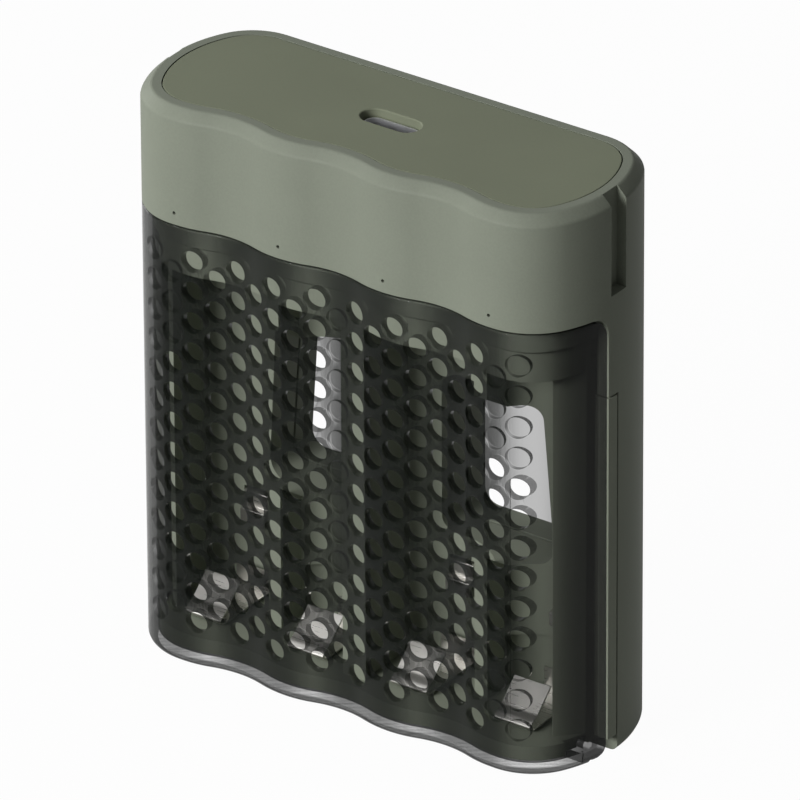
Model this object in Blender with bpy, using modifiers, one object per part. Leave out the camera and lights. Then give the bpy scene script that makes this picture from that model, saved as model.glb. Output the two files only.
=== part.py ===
"""A charger for four AA or AAA cells, standing upright: a moulded head on top, a
wavy perforated flip cover over the cell bay, and two push-out windows in the back.

Metres, +Z up. The origin is under the middle of the base, the front faces -Y and
the width runs along X.
"""
import math

import bmesh
import bpy
from mathutils import Matrix, Vector

MM = 0.001

# Overall sizes
CELL_COUNT = 4
CELL_PITCH = 18.0 * MM
DEPTH = 29.7 * MM
HEIGHT = 89.0 * MM
SIDE_RADIUS = 20.3 * MM
CORNER_RADIUS = 10.06 * MM
WAVE_DEPTH = 1.3 * MM
CREST_SHARE = 0.515
CREST_FLAT = 0.55 * MM
WAVE_STEPS = 4
CLEARANCE = 0.3 * MM

# Main housing
HOUSING_WALL = 2.0 * MM
HOUSING_FLOOR = 1.9 * MM
TOP_CHAMFER = 1.5 * MM
BASE_FILLET = 1.2 * MM
HEAD_HEIGHT = 18.1 * MM
SHOULDER_HEIGHT = 13.1 * MM
SEAM_Y = -0.1 * MM
LIP_DROP = 2.2 * MM
LIP_INSET = 1.6 * MM
LIP_WALL = 1.5 * MM
DOCK_WIDTH = 3.6 * MM
DOCK_REACH = 1.7 * MM
DOCK_LENGTH = 15.5 * MM
DOCK_WALL = 1.2 * MM
PINHOLE_DIAMETER = 0.5 * MM
LED_RISE = 1.8 * MM

# Top plate
PLATE_INSET = 3.0 * MM
PLATE_THICKNESS = 1.8 * MM
LEDGE_WIDTH = 1.2 * MM
LEDGE_DEPTH = 2.0 * MM
PORT_WIDTH = 9.7 * MM
PORT_HEIGHT = 4.1 * MM
PORT_COLLAR = 1.0 * MM
PORT_COLLAR_DEPTH = 2.2 * MM

# Windows through the back
WINDOW_INNER_X = 5.6 * MM
WINDOW_WIDTH = 18.6 * MM
WINDOW_SILL = 23.4 * MM
WINDOW_DROP = 13.1 * MM
WINDOW_CORNER = 2.5 * MM
WINDOW_COLLAR = 1.5 * MM
WINDOW_SEAM_DEPTH = 4.3 * MM

# Cell tray
TRAY_GAP = 0.3 * MM
TRAY_WALL = 1.8 * MM
TRAY_BOTTOM = 2.2 * MM
TRAY_FLOOR = 1.8 * MM
SLOT_RADIUS = 10.3 * MM
SLOT_AXIS_Y = -5.6 * MM
SLOT_HEADROOM = 8.9 * MM
SLOT_ROOF = 1.8 * MM
RIB_WIDTH = 2.2 * MM
RIB_FRONT = -4.0 * MM
END_WALL_FRONT = -7.6 * MM
GUIDE_WIDTH = 4.0 * MM
GUIDE_THICKNESS = 1.2 * MM
CENTRE_RIB_WIDTH = 3.0 * MM
CENTRE_RIB_GAP = 2.45 * MM
CELL_STEP_HEIGHT = 12.0 * MM
CELL_STEP_DEPTH = 0.8 * MM
FASCIA_WALL = 1.6 * MM
FASCIA_BACK = -3.0 * MM

# Flip cover
COVER_WALL = 1.4 * MM
COVER_FLOOR = 1.5 * MM
COVER_FILLET = 1.4 * MM
COVER_CORNER = 3.0 * MM
COVER_FLOOR_SETBACK = 0.9 * MM
HINGE_Y = -4.6 * MM
HINGE_Z = 2.6 * MM
HINGE_PIN_DIAMETER = 1.6 * MM
HINGE_PIN_LENGTH = 2.2 * MM
KNUCKLE_RADIUS = 2.0 * MM
HOLE_DIAMETER = 3.35 * MM
HOLE_STEP_X = 3.47 * MM
HOLE_STEP_Z = 4.85 * MM
HOLE_BOTTOM = 7.4 * MM
HOLE_TOP_MARGIN = 4.5 * MM
HOLE_CORNER_REACH = 5.2 * MM
HOLE_REACH = 5.0 * MM
HOLE_SIDES = 6
DIMPLE_DEPTH = 0.7 * MM

# Contacts, bent from nickel-plated strip
STRIP = 0.3 * MM
AA_CONTACT_WIDTH = 6.2 * MM
AA_HEEL_GAP = 1.3 * MM
AA_HEEL_RISE = 3.5 * MM
AA_TOE_Y = -9.2 * MM
AA_NOSE = 0.7 * MM
AA_FOLD = 1.25 * MM
AA_KNEE_Y = -7.35 * MM
AA_KNEE_RISE = 1.9 * MM
AA_TIP_Y = -4.0 * MM
AA_TIP_RISE = 5.0 * MM
AAA_CONTACT_WIDTH = 4.1 * MM
AAA_SLIT_Z = 19.3 * MM
AAA_CONTACT_DROP = 2.4 * MM
AAA_CONTACT_LENGTH = 4.7 * MM
AAA_CONTACT_GAP = 0.6 * MM
AAA_CONTACT_REACH = 1.0 * MM
PLUS_CONTACT_WIDTH = 7.0 * MM
PLUS_CONTACT_DROP = 3.1 * MM
PLUS_CONTACT_RAMP = 1.6 * MM
PLUS_CONTACT_FRONT = -6.4 * MM
PLUS_CONTACT_GAP = 2.5 * MM

# Circuit board and what it carries
BOARD_FRONT = 2.0 * MM
BOARD_THICKNESS = 1.2 * MM
BOARD_WIDTH = 62.0 * MM
BOARD_RISE = 0.8 * MM
BOARD_TOP_GAP = 1.4 * MM
BOSS_DIAMETER = 5.0 * MM
BOARD_BOSS_X = 20.0 * MM
BOARD_BOSS_RISE = 12.4 * MM
USB_WIDTH = 8.94 * MM
USB_HEIGHT = 3.2 * MM
USB_LENGTH = 7.4 * MM
USB_SHELL = 0.3 * MM
USB_RECESS = 1.2 * MM
TONGUE_WIDTH = 6.6 * MM
TONGUE_THICKNESS = 0.7 * MM
TONGUE_RECESS = 1.0 * MM
LED_SIZE = 3.0 * MM
LED_THICKNESS = 1.0 * MM
LIGHT_PIPE_DIAMETER = 2.0 * MM
CHIP_SIZE = 7.0 * MM
CHIP_THICKNESS = 1.0 * MM
CHIP_RISE = 3.9 * MM
INDUCTOR_SIZE = 6.0 * MM
INDUCTOR_THICKNESS = 3.0 * MM
INDUCTOR_CHAMFER = 1.0 * MM
INDUCTOR_X = 13.5 * MM
CAPACITOR_DIAMETER = 4.0 * MM
CAPACITOR_LENGTH = 5.4 * MM
CAPACITOR_X = 21.5 * MM
SOLDER = 0.2 * MM

# Screws
SCREW_LOW_Z = 9.0 * MM
SCREW_HIGH_DROP = 2.8 * MM
SCREW_SHANK = 2.0 * MM
SCREW_LENGTH = 6.0 * MM
SCREW_HEAD = 3.8 * MM
SCREW_HEAD_HEIGHT = 1.0 * MM
SCREW_SINK = 0.2 * MM
SCREW_SLOT = 0.7 * MM
SCREW_SLOT_DEPTH = 0.5 * MM
RECESS_MARGIN = 0.5 * MM

# Worked out from the sizes above
BACK = DEPTH / 2
LAST_CREST = (CELL_COUNT - 1) * CELL_PITCH / 2
SLOTS = [(index - (CELL_COUNT - 1) / 2) * CELL_PITCH for index in range(CELL_COUNT)]
CORE_HALF_WIDTH = CELL_COUNT * CELL_PITCH / 2 - TRAY_WALL / 2
CORNER_X = LAST_CREST + CREST_FLAT
SIDE_OFFSET = math.sqrt((SIDE_RADIUS - CORNER_RADIUS) ** 2 - (BACK - CORNER_RADIUS) ** 2)
HALF_WIDTH = CORNER_X + SIDE_RADIUS - SIDE_OFFSET
HEAD_BOTTOM = HEIGHT - HEAD_HEIGHT
SHOULDER_BOTTOM = HEAD_BOTTOM - SHOULDER_HEIGHT
COVER_EDGE_Y = HINGE_Y + KNUCKLE_RADIUS
COVER_FLOOR_Y = HINGE_Y - COVER_FLOOR_SETBACK
SHOULDER_Y = COVER_EDGE_Y + CLEARANCE
LED_HEIGHT = HEAD_BOTTOM + LED_RISE
SLOT_TOP = HEAD_BOTTOM - SLOT_HEADROOM
WINDOW_TOP = SLOT_TOP - WINDOW_DROP
CENTRE_RIB_FRONT = WAVE_DEPTH + COVER_WALL + CENTRE_RIB_GAP - BACK
PLATE_SEAT = HEIGHT - PLATE_THICKNESS
LEDGE_BOTTOM = PLATE_SEAT - LEDGE_DEPTH
BACK_INNER = BACK - HOUSING_WALL
WINDOW_SEAM = BACK - WINDOW_SEAM_DEPTH
TRAY_INSET = HOUSING_WALL + TRAY_GAP
TRAY_BACK = WINDOW_SEAM - TRAY_GAP
SLOT_BOTTOM = TRAY_BOTTOM + TRAY_FLOOR
ROOF_TOP = SLOT_TOP + SLOT_ROOF
SLOT_DEEPEST = SLOT_AXIS_Y + SLOT_RADIUS
COVER_TOP = HEAD_BOTTOM - CLEARANCE
LIP_BOTTOM = HEAD_BOTTOM - LIP_DROP
SCREW_X = CORNER_X - BOSS_DIAMETER / 2
SCREW_HIGH_Z = SHOULDER_BOTTOM - SCREW_HIGH_DROP
SCREW_TIP_Y = BACK - SCREW_SINK - SCREW_HEAD_HEIGHT - SCREW_LENGTH
AA_HEEL_Y = SLOT_DEEPEST - AA_HEEL_GAP
PLUS_CONTACT_BACK = SLOT_DEEPEST - PLUS_CONTACT_GAP
BOARD_BOTTOM = ROOF_TOP + BOARD_RISE
BOARD_BOSS_Z = BOARD_BOTTOM + BOARD_BOSS_RISE
CHIP_Z = BOARD_BOTTOM + CHIP_RISE
HOLE_COLUMNS = int((CORNER_X + HOLE_CORNER_REACH) / HOLE_STEP_X)
HOLE_ROWS = int((COVER_TOP - HOLE_TOP_MARGIN - HOLE_BOTTOM) / HOLE_STEP_Z) + 1
FAR = 2 * HEIGHT
BITE = 0.4 * MM

MAIN = bpy.data.collections.new("aa_battery_charger")
CUTTERS = bpy.data.collections.new("cutters")


def clear_scene():
    for old in list(bpy.data.objects):
        bpy.data.objects.remove(old, do_unlink=True)
    for collection in (MAIN, CUTTERS):
        bpy.context.scene.collection.children.link(collection)


def srgb(code):
    """Linear colour from an sRGB hex code."""
    channels = [int(code[start:start + 2], 16) / 255 for start in (0, 2, 4)]
    linear = [c / 12.92 if c <= 0.04045 else ((c + 0.055) / 1.055) ** 2.4 for c in channels]
    return (*linear, 1.0)


def finish(name, code, roughness, metallic=0.0, alpha=1.0):
    material = bpy.data.materials.new(name)
    material.use_nodes = True
    shader = material.node_tree.nodes["Principled BSDF"]
    shader.inputs["Base Color"].default_value = srgb(code)
    shader.inputs["Roughness"].default_value = roughness
    shader.inputs["Metallic"].default_value = metallic
    shader.inputs["Alpha"].default_value = alpha
    material.diffuse_color = (*srgb(code)[:3], alpha)
    return material


# Plan outlines

def arc(centre, radius, start, stop, steps):
    """Points along an arc, with the angles in radians."""
    points = []
    for step in range(steps + 1):
        angle = start + (stop - start) * step / steps
        points.append((centre[0] + radius * math.cos(angle), centre[1] + radius * math.sin(angle)))
    return points


def chain(*runs):
    """One closed outline from runs of points, without repeated points."""
    outline = []
    for run in runs:
        for point in run:
            if not outline or math.dist(point, outline[-1]) > 1e-7:
                outline.append(point)
    if math.dist(outline[0], outline[-1]) <= 1e-7:
        outline.pop()
    return outline


def plan(inset=0.0):
    """The housing's plan, anticlockwise, with its wall line moved inwards by inset.

    The back is flat, the ends are shallow arcs, and the front has one lobe a cell.
    """
    right_angle = math.pi / 2
    sweep = 2 * math.atan(WAVE_DEPTH / (CELL_PITCH / 2))
    radii = CELL_PITCH / 2 / math.sin(sweep)
    crest = CREST_SHARE * radii
    valley = radii - crest
    side_x = HALF_WIDTH - SIDE_RADIUS
    corner_y = BACK - CORNER_RADIUS
    turn = math.atan2(corner_y, CORNER_X - side_x)
    runs = []
    for index, x in enumerate(SLOTS):
        middle = (x, -BACK + crest)
        first = -right_angle if index == 0 else -right_angle - sweep
        last = -right_angle if index == CELL_COUNT - 1 else -right_angle + sweep
        steps = 2 if index in (0, CELL_COUNT - 1) else WAVE_STEPS
        runs.append(arc(middle, crest - inset, first, last, steps))
        if index < CELL_COUNT - 1:
            hollow = (x + CELL_PITCH / 2, -(BACK - WAVE_DEPTH) - valley)
            runs.append(arc(hollow, valley + inset, right_angle + sweep, right_angle - sweep, WAVE_STEPS))
    for side in (1, -1):
        corner = [(side * CORNER_X, -side * corner_y), (side * CORNER_X, side * corner_y)]
        base = 0.0 if side > 0 else math.pi
        radius = CORNER_RADIUS - inset
        runs.append(arc(corner[0], radius, base - right_angle, base - turn, 3))
        runs.append(arc((side * side_x, 0), SIDE_RADIUS - inset, base - turn, base + turn, 4))
        runs.append(arc(corner[1], radius, base + turn, base + right_angle, 3))
    return chain(*runs)


def stadium(width, height, centre=(0.0, 0.0), steps=4):
    """A slot with round ends, wider than it is high."""
    radius = height / 2
    half = width / 2 - radius
    right = arc((centre[0] + half, centre[1]), radius, -math.pi / 2, math.pi / 2, steps)
    left = arc((centre[0] - half, centre[1]), radius, math.pi / 2, 3 * math.pi / 2, steps)
    return chain(right, left)


def rounded_rectangle(left, bottom, right, top, radius, steps=3):
    quarter = math.pi / 2
    return chain(
        arc((right - radius, bottom + radius), radius, -quarter, 0, steps),
        arc((right - radius, top - radius), radius, 0, quarter, steps),
        arc((left + radius, top - radius), radius, quarter, 2 * quarter, steps),
        arc((left + radius, bottom + radius), radius, 2 * quarter, 3 * quarter, steps))


# Modelling helpers

TURNS = {
    "Z": Matrix.Identity(3),
    "X": Matrix(((0, 0, 1), (1, 0, 0), (0, 1, 0))),
    "Y": Matrix(((1, 0, 0), (0, 0, -1), (0, 1, 0))),
}


def settle(name, mesh, material=None):
    """Link a finished mesh as a part, or as a hidden cutter when it has no material."""
    thing = bpy.data.objects.new(name, mesh)
    if material is None:
        CUTTERS.objects.link(thing)
        thing.hide_render = True
        thing.display_type = "WIRE"
    else:
        MAIN.objects.link(thing)
        mesh.materials.clear()
        mesh.materials.append(material)
    return thing


def slab(name, outline, low, high, axis="Z", material=None):
    """A flat outline given thickness along axis, from low to high.

    The outline's own two directions are X and Y for axis Z, Y and Z for axis X,
    and X and Z for axis Y.
    """
    curve = bpy.data.curves.new(name, "CURVE")
    curve.dimensions = "2D"
    curve.fill_mode = "BOTH"
    curve.extrude = abs(high - low) / 2
    spline = curve.splines.new("POLY")
    spline.points.add(len(outline) - 1)
    for point, (u, v) in zip(spline.points, outline):
        point.co = (u, v, 0, 1)
    spline.use_cyclic_u = True
    carrier = bpy.data.objects.new(name, curve)
    bpy.context.scene.collection.objects.link(carrier)
    middle = (low + high) / 2
    offset = Vector((0, 0, -middle if axis == "Y" else middle))
    carrier.matrix_world = TURNS[axis].to_4x4() @ Matrix.Translation(offset)
    bpy.context.view_layer.update()
    evaluated = carrier.evaluated_get(bpy.context.evaluated_depsgraph_get())
    mesh = bpy.data.meshes.new_from_object(evaluated)
    mesh.transform(carrier.matrix_world)
    work = bmesh.new()
    work.from_mesh(mesh)
    bmesh.ops.remove_doubles(work, verts=work.verts, dist=1e-7)
    bmesh.ops.recalc_face_normals(work, faces=work.faces)
    bmesh.ops.dissolve_limit(work, angle_limit=math.radians(0.1), verts=work.verts, edges=work.edges)
    work.to_mesh(mesh)
    work.free()
    bpy.data.objects.remove(carrier, do_unlink=True)
    mesh.name = name
    return settle(name, mesh, material)


def block(name, low, high, material=None):
    """A box between two corners."""
    work = bmesh.new()
    bmesh.ops.create_cube(work, size=1.0)
    size = [b - a for a, b in zip(low, high)]
    middle = [(a + b) / 2 for a, b in zip(low, high)]
    bmesh.ops.scale(work, vec=size, verts=work.verts)
    bmesh.ops.translate(work, vec=middle, verts=work.verts)
    mesh = bpy.data.meshes.new(name)
    work.to_mesh(mesh)
    work.free()
    return settle(name, mesh, material)


def add_rod(work, start, end, radius, sides):
    """Add a capped cylinder between two points to a mesh in work."""
    start, end = Vector(start), Vector(end)
    turn = (end - start).to_track_quat("Z", "Y").to_matrix().to_4x4()
    place = Matrix.Translation((start + end) / 2) @ turn
    bmesh.ops.create_cone(work, cap_ends=True, segments=sides, radius1=radius, radius2=radius,
                          depth=(end - start).length, matrix=place)


def rods(name, spans, diameter, sides=12, material=None):
    """One mesh of cylinders that share a diameter, one for each (start, end)."""
    work = bmesh.new()
    for start, end in spans:
        add_rod(work, start, end, diameter / 2, sides)
    mesh = bpy.data.meshes.new(name)
    work.to_mesh(mesh)
    work.free()
    return settle(name, mesh, material)


def bend_edges(thing, width, pick, segments=1):
    """Bevel the edges whose two ends both pass the test."""
    work = bmesh.new()
    work.from_mesh(thing.data)
    edges = [edge for edge in work.edges if all(pick(vert.co) for vert in edge.verts)]
    bmesh.ops.bevel(work, geom=edges, offset=width, offset_type="OFFSET", segments=segments,
                    profile=0.5, affect="EDGES", clamp_overlap=True)
    work.to_mesh(thing.data)
    work.free()


def combine(target, tool, operation):
    modifier = target.modifiers.new(tool.name, "BOOLEAN")
    modifier.operation = operation
    modifier.solver = "EXACT"
    modifier.object = tool
    return target


def cut(target, *tools):
    for tool in tools:
        combine(target, tool, "DIFFERENCE")


def join(target, *tools):
    for tool in tools:
        combine(target, tool, "UNION")


def trim(target, tool):
    combine(target, tool, "INTERSECT")


def smooth(thing, angle=40.0):
    thing.data.shade_smooth()
    thing.data.set_sharp_from_angle(angle=math.radians(angle))


def bent_strip(name, path, width, x, material):
    """A bent sheet-metal strip: a path of (y, z) points, swept along X and thickened."""
    work = bmesh.new()
    verts = [work.verts.new((x - width / 2, y, z)) for y, z in path]
    edges = [work.edges.new(pair) for pair in zip(verts, verts[1:])]
    swept = bmesh.ops.extrude_edge_only(work, edges=edges)
    moved = [item for item in swept["geom"] if isinstance(item, bmesh.types.BMVert)]
    bmesh.ops.translate(work, vec=(width, 0, 0), verts=moved)
    mesh = bpy.data.meshes.new(name)
    work.to_mesh(mesh)
    work.free()
    strip = settle(name, mesh, material)
    wall = strip.modifiers.new("strip", "SOLIDIFY")
    wall.thickness = STRIP
    wall.offset = 0.0
    return strip


def window_outline(side, margin=0.0):
    """One window of the back, in X and Z, grown by margin."""
    near = WINDOW_INNER_X - margin
    far = WINDOW_INNER_X + WINDOW_WIDTH + margin
    left, right = (near, far) if side > 0 else (-far, -near)
    return rounded_rectangle(left, WINDOW_SILL - margin, right,
                             WINDOW_TOP + margin, WINDOW_CORNER + margin)


def tray_screw_places():
    return [(side * SCREW_X, z) for side in (-1, 1) for z in (SCREW_LOW_Z, SCREW_HIGH_Z)]


def board_screw_places():
    return [(side * BOARD_BOSS_X, BOARD_BOSS_Z) for side in (-1, 1)]


# Housing

def make_main_housing(material):
    """The outer moulding: a closed head on top, and a back shell that runs to the base."""
    body = slab("main_housing", plan(), 0, HEIGHT, material=material)
    bend_edges(body, TOP_CHAMFER, lambda co: co.z > HEIGHT - MM)
    bend_edges(body, BASE_FILLET, lambda co: co.z < MM, segments=2)
    cut(body,
        slab("housing_cavity", plan(HOUSING_WALL), HOUSING_FLOOR, LEDGE_BOTTOM),
        slab("ledge_opening", plan(PLATE_INSET + LEDGE_WIDTH), LEDGE_BOTTOM - BITE, PLATE_SEAT),
        slab("plate_pocket", plan(PLATE_INSET), PLATE_SEAT, FAR),
        block("bay_front", (-FAR, -FAR, -FAR), (FAR, SEAM_Y, SHOULDER_BOTTOM)),
        block("shoulder_front", (-FAR, -FAR, SHOULDER_BOTTOM - BITE), (FAR, SHOULDER_Y, HEAD_BOTTOM)))
    lip = slab("head_lip", plan(LIP_INSET), LIP_BOTTOM, HEAD_BOTTOM + BITE)
    cut(lip,
        slab("lip_inside", plan(LIP_INSET + LIP_WALL), 0, FAR),
        block("lip_back", (-FAR, SHOULDER_Y - CLEARANCE, 0), (FAR, FAR, FAR)))
    join(body, lip)
    for side, word in ((-1, "left"), (1, "right")):
        join(body, slab("collar_" + word, window_outline(side, WINDOW_COLLAR),
                        WINDOW_SEAM, BACK - BITE, axis="Y"))
        cut(body, slab("window_" + word, window_outline(side), 0, FAR, axis="Y"))
        outer, inner = side * (HALF_WIDTH + MM), side * (HALF_WIDTH - DOCK_REACH)
        backing = inner - side * DOCK_WALL
        dock_bottom = HEIGHT - DOCK_LENGTH
        half, thick = DOCK_WIDTH / 2, DOCK_WIDTH / 2 + DOCK_WALL
        join(body, block("dock_backing_" + word,
                         (min(backing, inner + side * BITE), -thick, dock_bottom - DOCK_WALL),
                         (max(backing, inner + side * BITE), thick, LEDGE_BOTTOM + BITE)))
        cut(body, block("dock_groove_" + word, (min(inner, outer), -half, dock_bottom),
                        (max(inner, outer), half, FAR)))
    join(body, rods("board_bosses", [((x, BOARD_FRONT + BOARD_THICKNESS + CLEARANCE, z),
                                      (x, BACK - BITE, z)) for x, z in board_screw_places()],
                    BOSS_DIAMETER))
    cut(body,
        rods("pinholes", [((x, -FAR, LED_HEIGHT), (x, -BACK + HOUSING_WALL + MM, LED_HEIGHT))
                          for x in SLOTS], PINHOLE_DIAMETER, sides=6),
        rods("board_pilots", [((x, -MM, z), (x, BACK_INNER, z)) for x, z in board_screw_places()],
             SCREW_SHANK + 2 * CLEARANCE, sides=10),
        rods("screw_holes", [((x, 0, z), (x, FAR, z)) for x, z in tray_screw_places()],
             SCREW_SHANK + 2 * CLEARANCE, sides=10),
        rods("screw_recesses", [((x, BACK - SCREW_SINK - SCREW_HEAD_HEIGHT - CLEARANCE, z), (x, FAR, z))
                                for x, z in tray_screw_places()],
             SCREW_HEAD + 2 * RECESS_MARGIN, sides=16))
    smooth(body)
    return body


def make_top_plate(material):
    """The flat plate let into the head's top, with the charging port's opening."""
    plate = slab("top_plate", plan(PLATE_INSET + CLEARANCE / 2), PLATE_SEAT + CLEARANCE / 2, HEIGHT,
                 material=material)
    collar = stadium(PORT_WIDTH + 2 * PORT_COLLAR, PORT_HEIGHT + 2 * PORT_COLLAR)
    join(plate, slab("port_collar", collar, PLATE_SEAT - PORT_COLLAR_DEPTH, HEIGHT - BITE))
    cut(plate, slab("port_opening", stadium(PORT_WIDTH, PORT_HEIGHT), 0, FAR))
    return plate


# Cell tray

def core_outline():
    """Plan of the moulding behind the slots: flat in front, one round back a slot."""
    outer = SLOT_RADIUS + TRAY_WALL
    run = [(CORE_HALF_WIDTH, RIB_FRONT)]
    for index, x in reversed(list(enumerate(SLOTS))):
        right = CORE_HALF_WIDTH - x if index == CELL_COUNT - 1 else CELL_PITCH / 2
        left = CORE_HALF_WIDTH + x if index == 0 else CELL_PITCH / 2
        start = math.acos(min(1.0, right / outer))
        stop = math.pi - math.acos(min(1.0, left / outer))
        run += arc((x, SLOT_AXIS_Y), outer, start, stop, 6)
    return chain(run, [(-CORE_HALF_WIDTH, RIB_FRONT)])


def slot_outline(index, radius):
    """Plan of one slot's hollow: a round floor, and ribs at both sides."""
    x = SLOTS[index]
    inner_index = CELL_COUNT // 2
    widths = [CENTRE_RIB_WIDTH if rib == inner_index else RIB_WIDTH for rib in (index, index + 1)]
    left, right = (CELL_PITCH / 2 - width / 2 for width in widths)
    start = math.acos(min(1.0, right / radius))
    stop = math.pi - math.acos(min(1.0, left / radius))
    floor = arc((x, SLOT_AXIS_Y), radius, start, stop, 8)
    flange = (GUIDE_WIDTH - CENTRE_RIB_WIDTH) / 2
    waist = CENTRE_RIB_FRONT + GUIDE_THICKNESS
    left_run = [(x - left, -BACK - MM)]
    right_run = [(x + right, -BACK - MM)]
    if index == inner_index:
        left_run = [(x - left, waist), (x - left + flange, waist), (x - left + flange, -BACK - MM)]
    if index + 1 == inner_index:
        right_run = [(x + right - flange, -BACK - MM), (x + right - flange, waist), (x + right, waist)]
    return chain(floor, left_run, right_run)


def make_battery_tray(material):
    """The moulding behind the cells: hollow floor, ribs, end walls and push-out tunnels."""
    tray = slab("battery_tray", plan(TRAY_INSET), TRAY_BOTTOM, LIP_BOTTOM - CLEARANCE, material=material)
    cut(tray,
        block("tray_back_clip", (-FAR, TRAY_BACK, -FAR), (FAR, FAR, FAR)),
        slab("tray_hollow", plan(TRAY_INSET + TRAY_WALL), SLOT_BOTTOM, SLOT_TOP),
        block("tray_front_clip", (-FAR, -FAR, SLOT_BOTTOM), (FAR, END_WALL_FRONT, SLOT_TOP)),
        slab("fascia_inside", plan(TRAY_INSET + FASCIA_WALL), ROOF_TOP, FAR),
        block("fascia_back", (-FAR, FASCIA_BACK, ROOF_TOP), (FAR, FAR, FAR)))

    core = slab("tray_core", core_outline(), SLOT_BOTTOM - BITE, SLOT_TOP + BITE)
    middle = block("centre_rib", (-GUIDE_WIDTH / 2, CENTRE_RIB_FRONT, SLOT_BOTTOM - BITE),
                   (GUIDE_WIDTH / 2, RIB_FRONT + BITE, SLOT_TOP + BITE))
    join(core, middle)
    for side, word in ((-1, "left"), (1, "right")):
        join(core, slab("tunnel_" + word, window_outline(side, WINDOW_COLLAR),
                        RIB_FRONT + BITE, TRAY_BACK - BITE / 2, axis="Y"))
    for index in range(CELL_COUNT):
        cut(core,
            slab(f"slot_{index}", slot_outline(index, SLOT_RADIUS), 0, FAR),
            slab(f"cell_step_{index}", slot_outline(index, SLOT_RADIUS + CELL_STEP_DEPTH),
                 0, CELL_STEP_HEIGHT))
    join(tray, core)

    for side, word in ((-1, "left"), (1, "right")):
        edge = slab("edge_strip_" + word, plan(), HINGE_Z + CLEARANCE, SHOULDER_BOTTOM - CLEARANCE)
        cut(edge,
            slab("edge_inside_" + word, plan(TRAY_INSET + TRAY_WALL / 2), -FAR, FAR),
            block("edge_rear_" + word, (-FAR, SEAM_Y - CLEARANCE, -FAR), (FAR, FAR, FAR)),
            block("edge_fore_" + word, (-FAR, -FAR, -FAR), (FAR, SHOULDER_Y, FAR)),
            block("edge_other_" + word, (min(0, -side * FAR), -FAR, -FAR),
                  (max(0, -side * FAR), FAR, FAR)))
        join(tray, edge)
        cut(tray, slab("tray_window_" + word, window_outline(side), RIB_FRONT - MM, FAR, axis="Y"))

    join(tray, rods("screw_posts", [((x, SLOT_DEEPEST, z), (x, BACK_INNER - CLEARANCE, z))
                                    for x, z in tray_screw_places()], BOSS_DIAMETER))
    for index, x in enumerate(SLOTS):
        half = AAA_CONTACT_WIDTH / 2 + CLEARANCE
        gap = STRIP / 2 + CLEARANCE
        cut(tray, block(f"aaa_slit_{index}", (x - half, SLOT_DEEPEST - MM, AAA_SLIT_Z - gap),
                        (x + half, SLOT_DEEPEST + TRAY_WALL + BITE, AAA_SLIT_Z + gap)))
    cut(tray,
        rods("screw_pilots", [((x, SCREW_TIP_Y - CLEARANCE, z), (x, FAR, z))
                              for x, z in tray_screw_places()], SCREW_SHANK + 2 * CLEARANCE, sides=10),
        rods("hinge_sockets", [((-FAR, HINGE_Y, HINGE_Z), (FAR, HINGE_Y, HINGE_Z))],
             HINGE_PIN_DIAMETER + 2 * CLEARANCE, sides=16))
    smooth(tray)
    return tray


# Flip cover

def cover_side_outline():
    """The cover seen from its end, in Y and Z: open at the back, round at its hinge."""
    lowest = HINGE_Z - KNUCKLE_RADIUS
    start = math.asin(max(-1.0, min(1.0, (COVER_FLOOR_Y - HINGE_Y) / KNUCKLE_RADIUS)))
    knuckle = arc((HINGE_Y, HINGE_Z), KNUCKLE_RADIUS, -math.pi / 2 + start, 0, 5)
    corner = arc((COVER_EDGE_Y - COVER_CORNER, COVER_TOP - COVER_CORNER), COVER_CORNER, 0, math.pi / 2, 5)
    return chain([(-FAR, -FAR), (COVER_FLOOR_Y, -FAR), (COVER_FLOOR_Y, lowest)], knuckle, corner,
                 [(-FAR, COVER_TOP)])


def is_dimple(column, row):
    """True where a hole is only sunk: up the middle, and towards the four corners."""
    if column == 0:
        return row > 2
    outermost = abs(column) == HOLE_COLUMNS
    next_to_it = abs(column) == HOLE_COLUMNS - 1
    below, above = (3 if outermost else 2), HOLE_ROWS - 4
    return (outermost or next_to_it) and not below <= row < above


def hole_places(sunk):
    """Centres of the vent holes, or of the sunk ones: columns half a step up and down in turn."""
    places = []
    for column in range(-HOLE_COLUMNS, HOLE_COLUMNS + 1):
        short = (column + HOLE_COLUMNS) % 2
        for row in range(HOLE_ROWS - short):
            if is_dimple(column, row) == sunk:
                places.append((column * HOLE_STEP_X, HOLE_BOTTOM + (row + short / 2) * HOLE_STEP_Z))
    return places


def cover_hinge_x():
    """Where the cover's inner face stands beside the hinge."""
    reach = SIDE_RADIUS - COVER_WALL
    return HALF_WIDTH - SIDE_RADIUS + math.sqrt(reach ** 2 - HINGE_Y ** 2)


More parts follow.
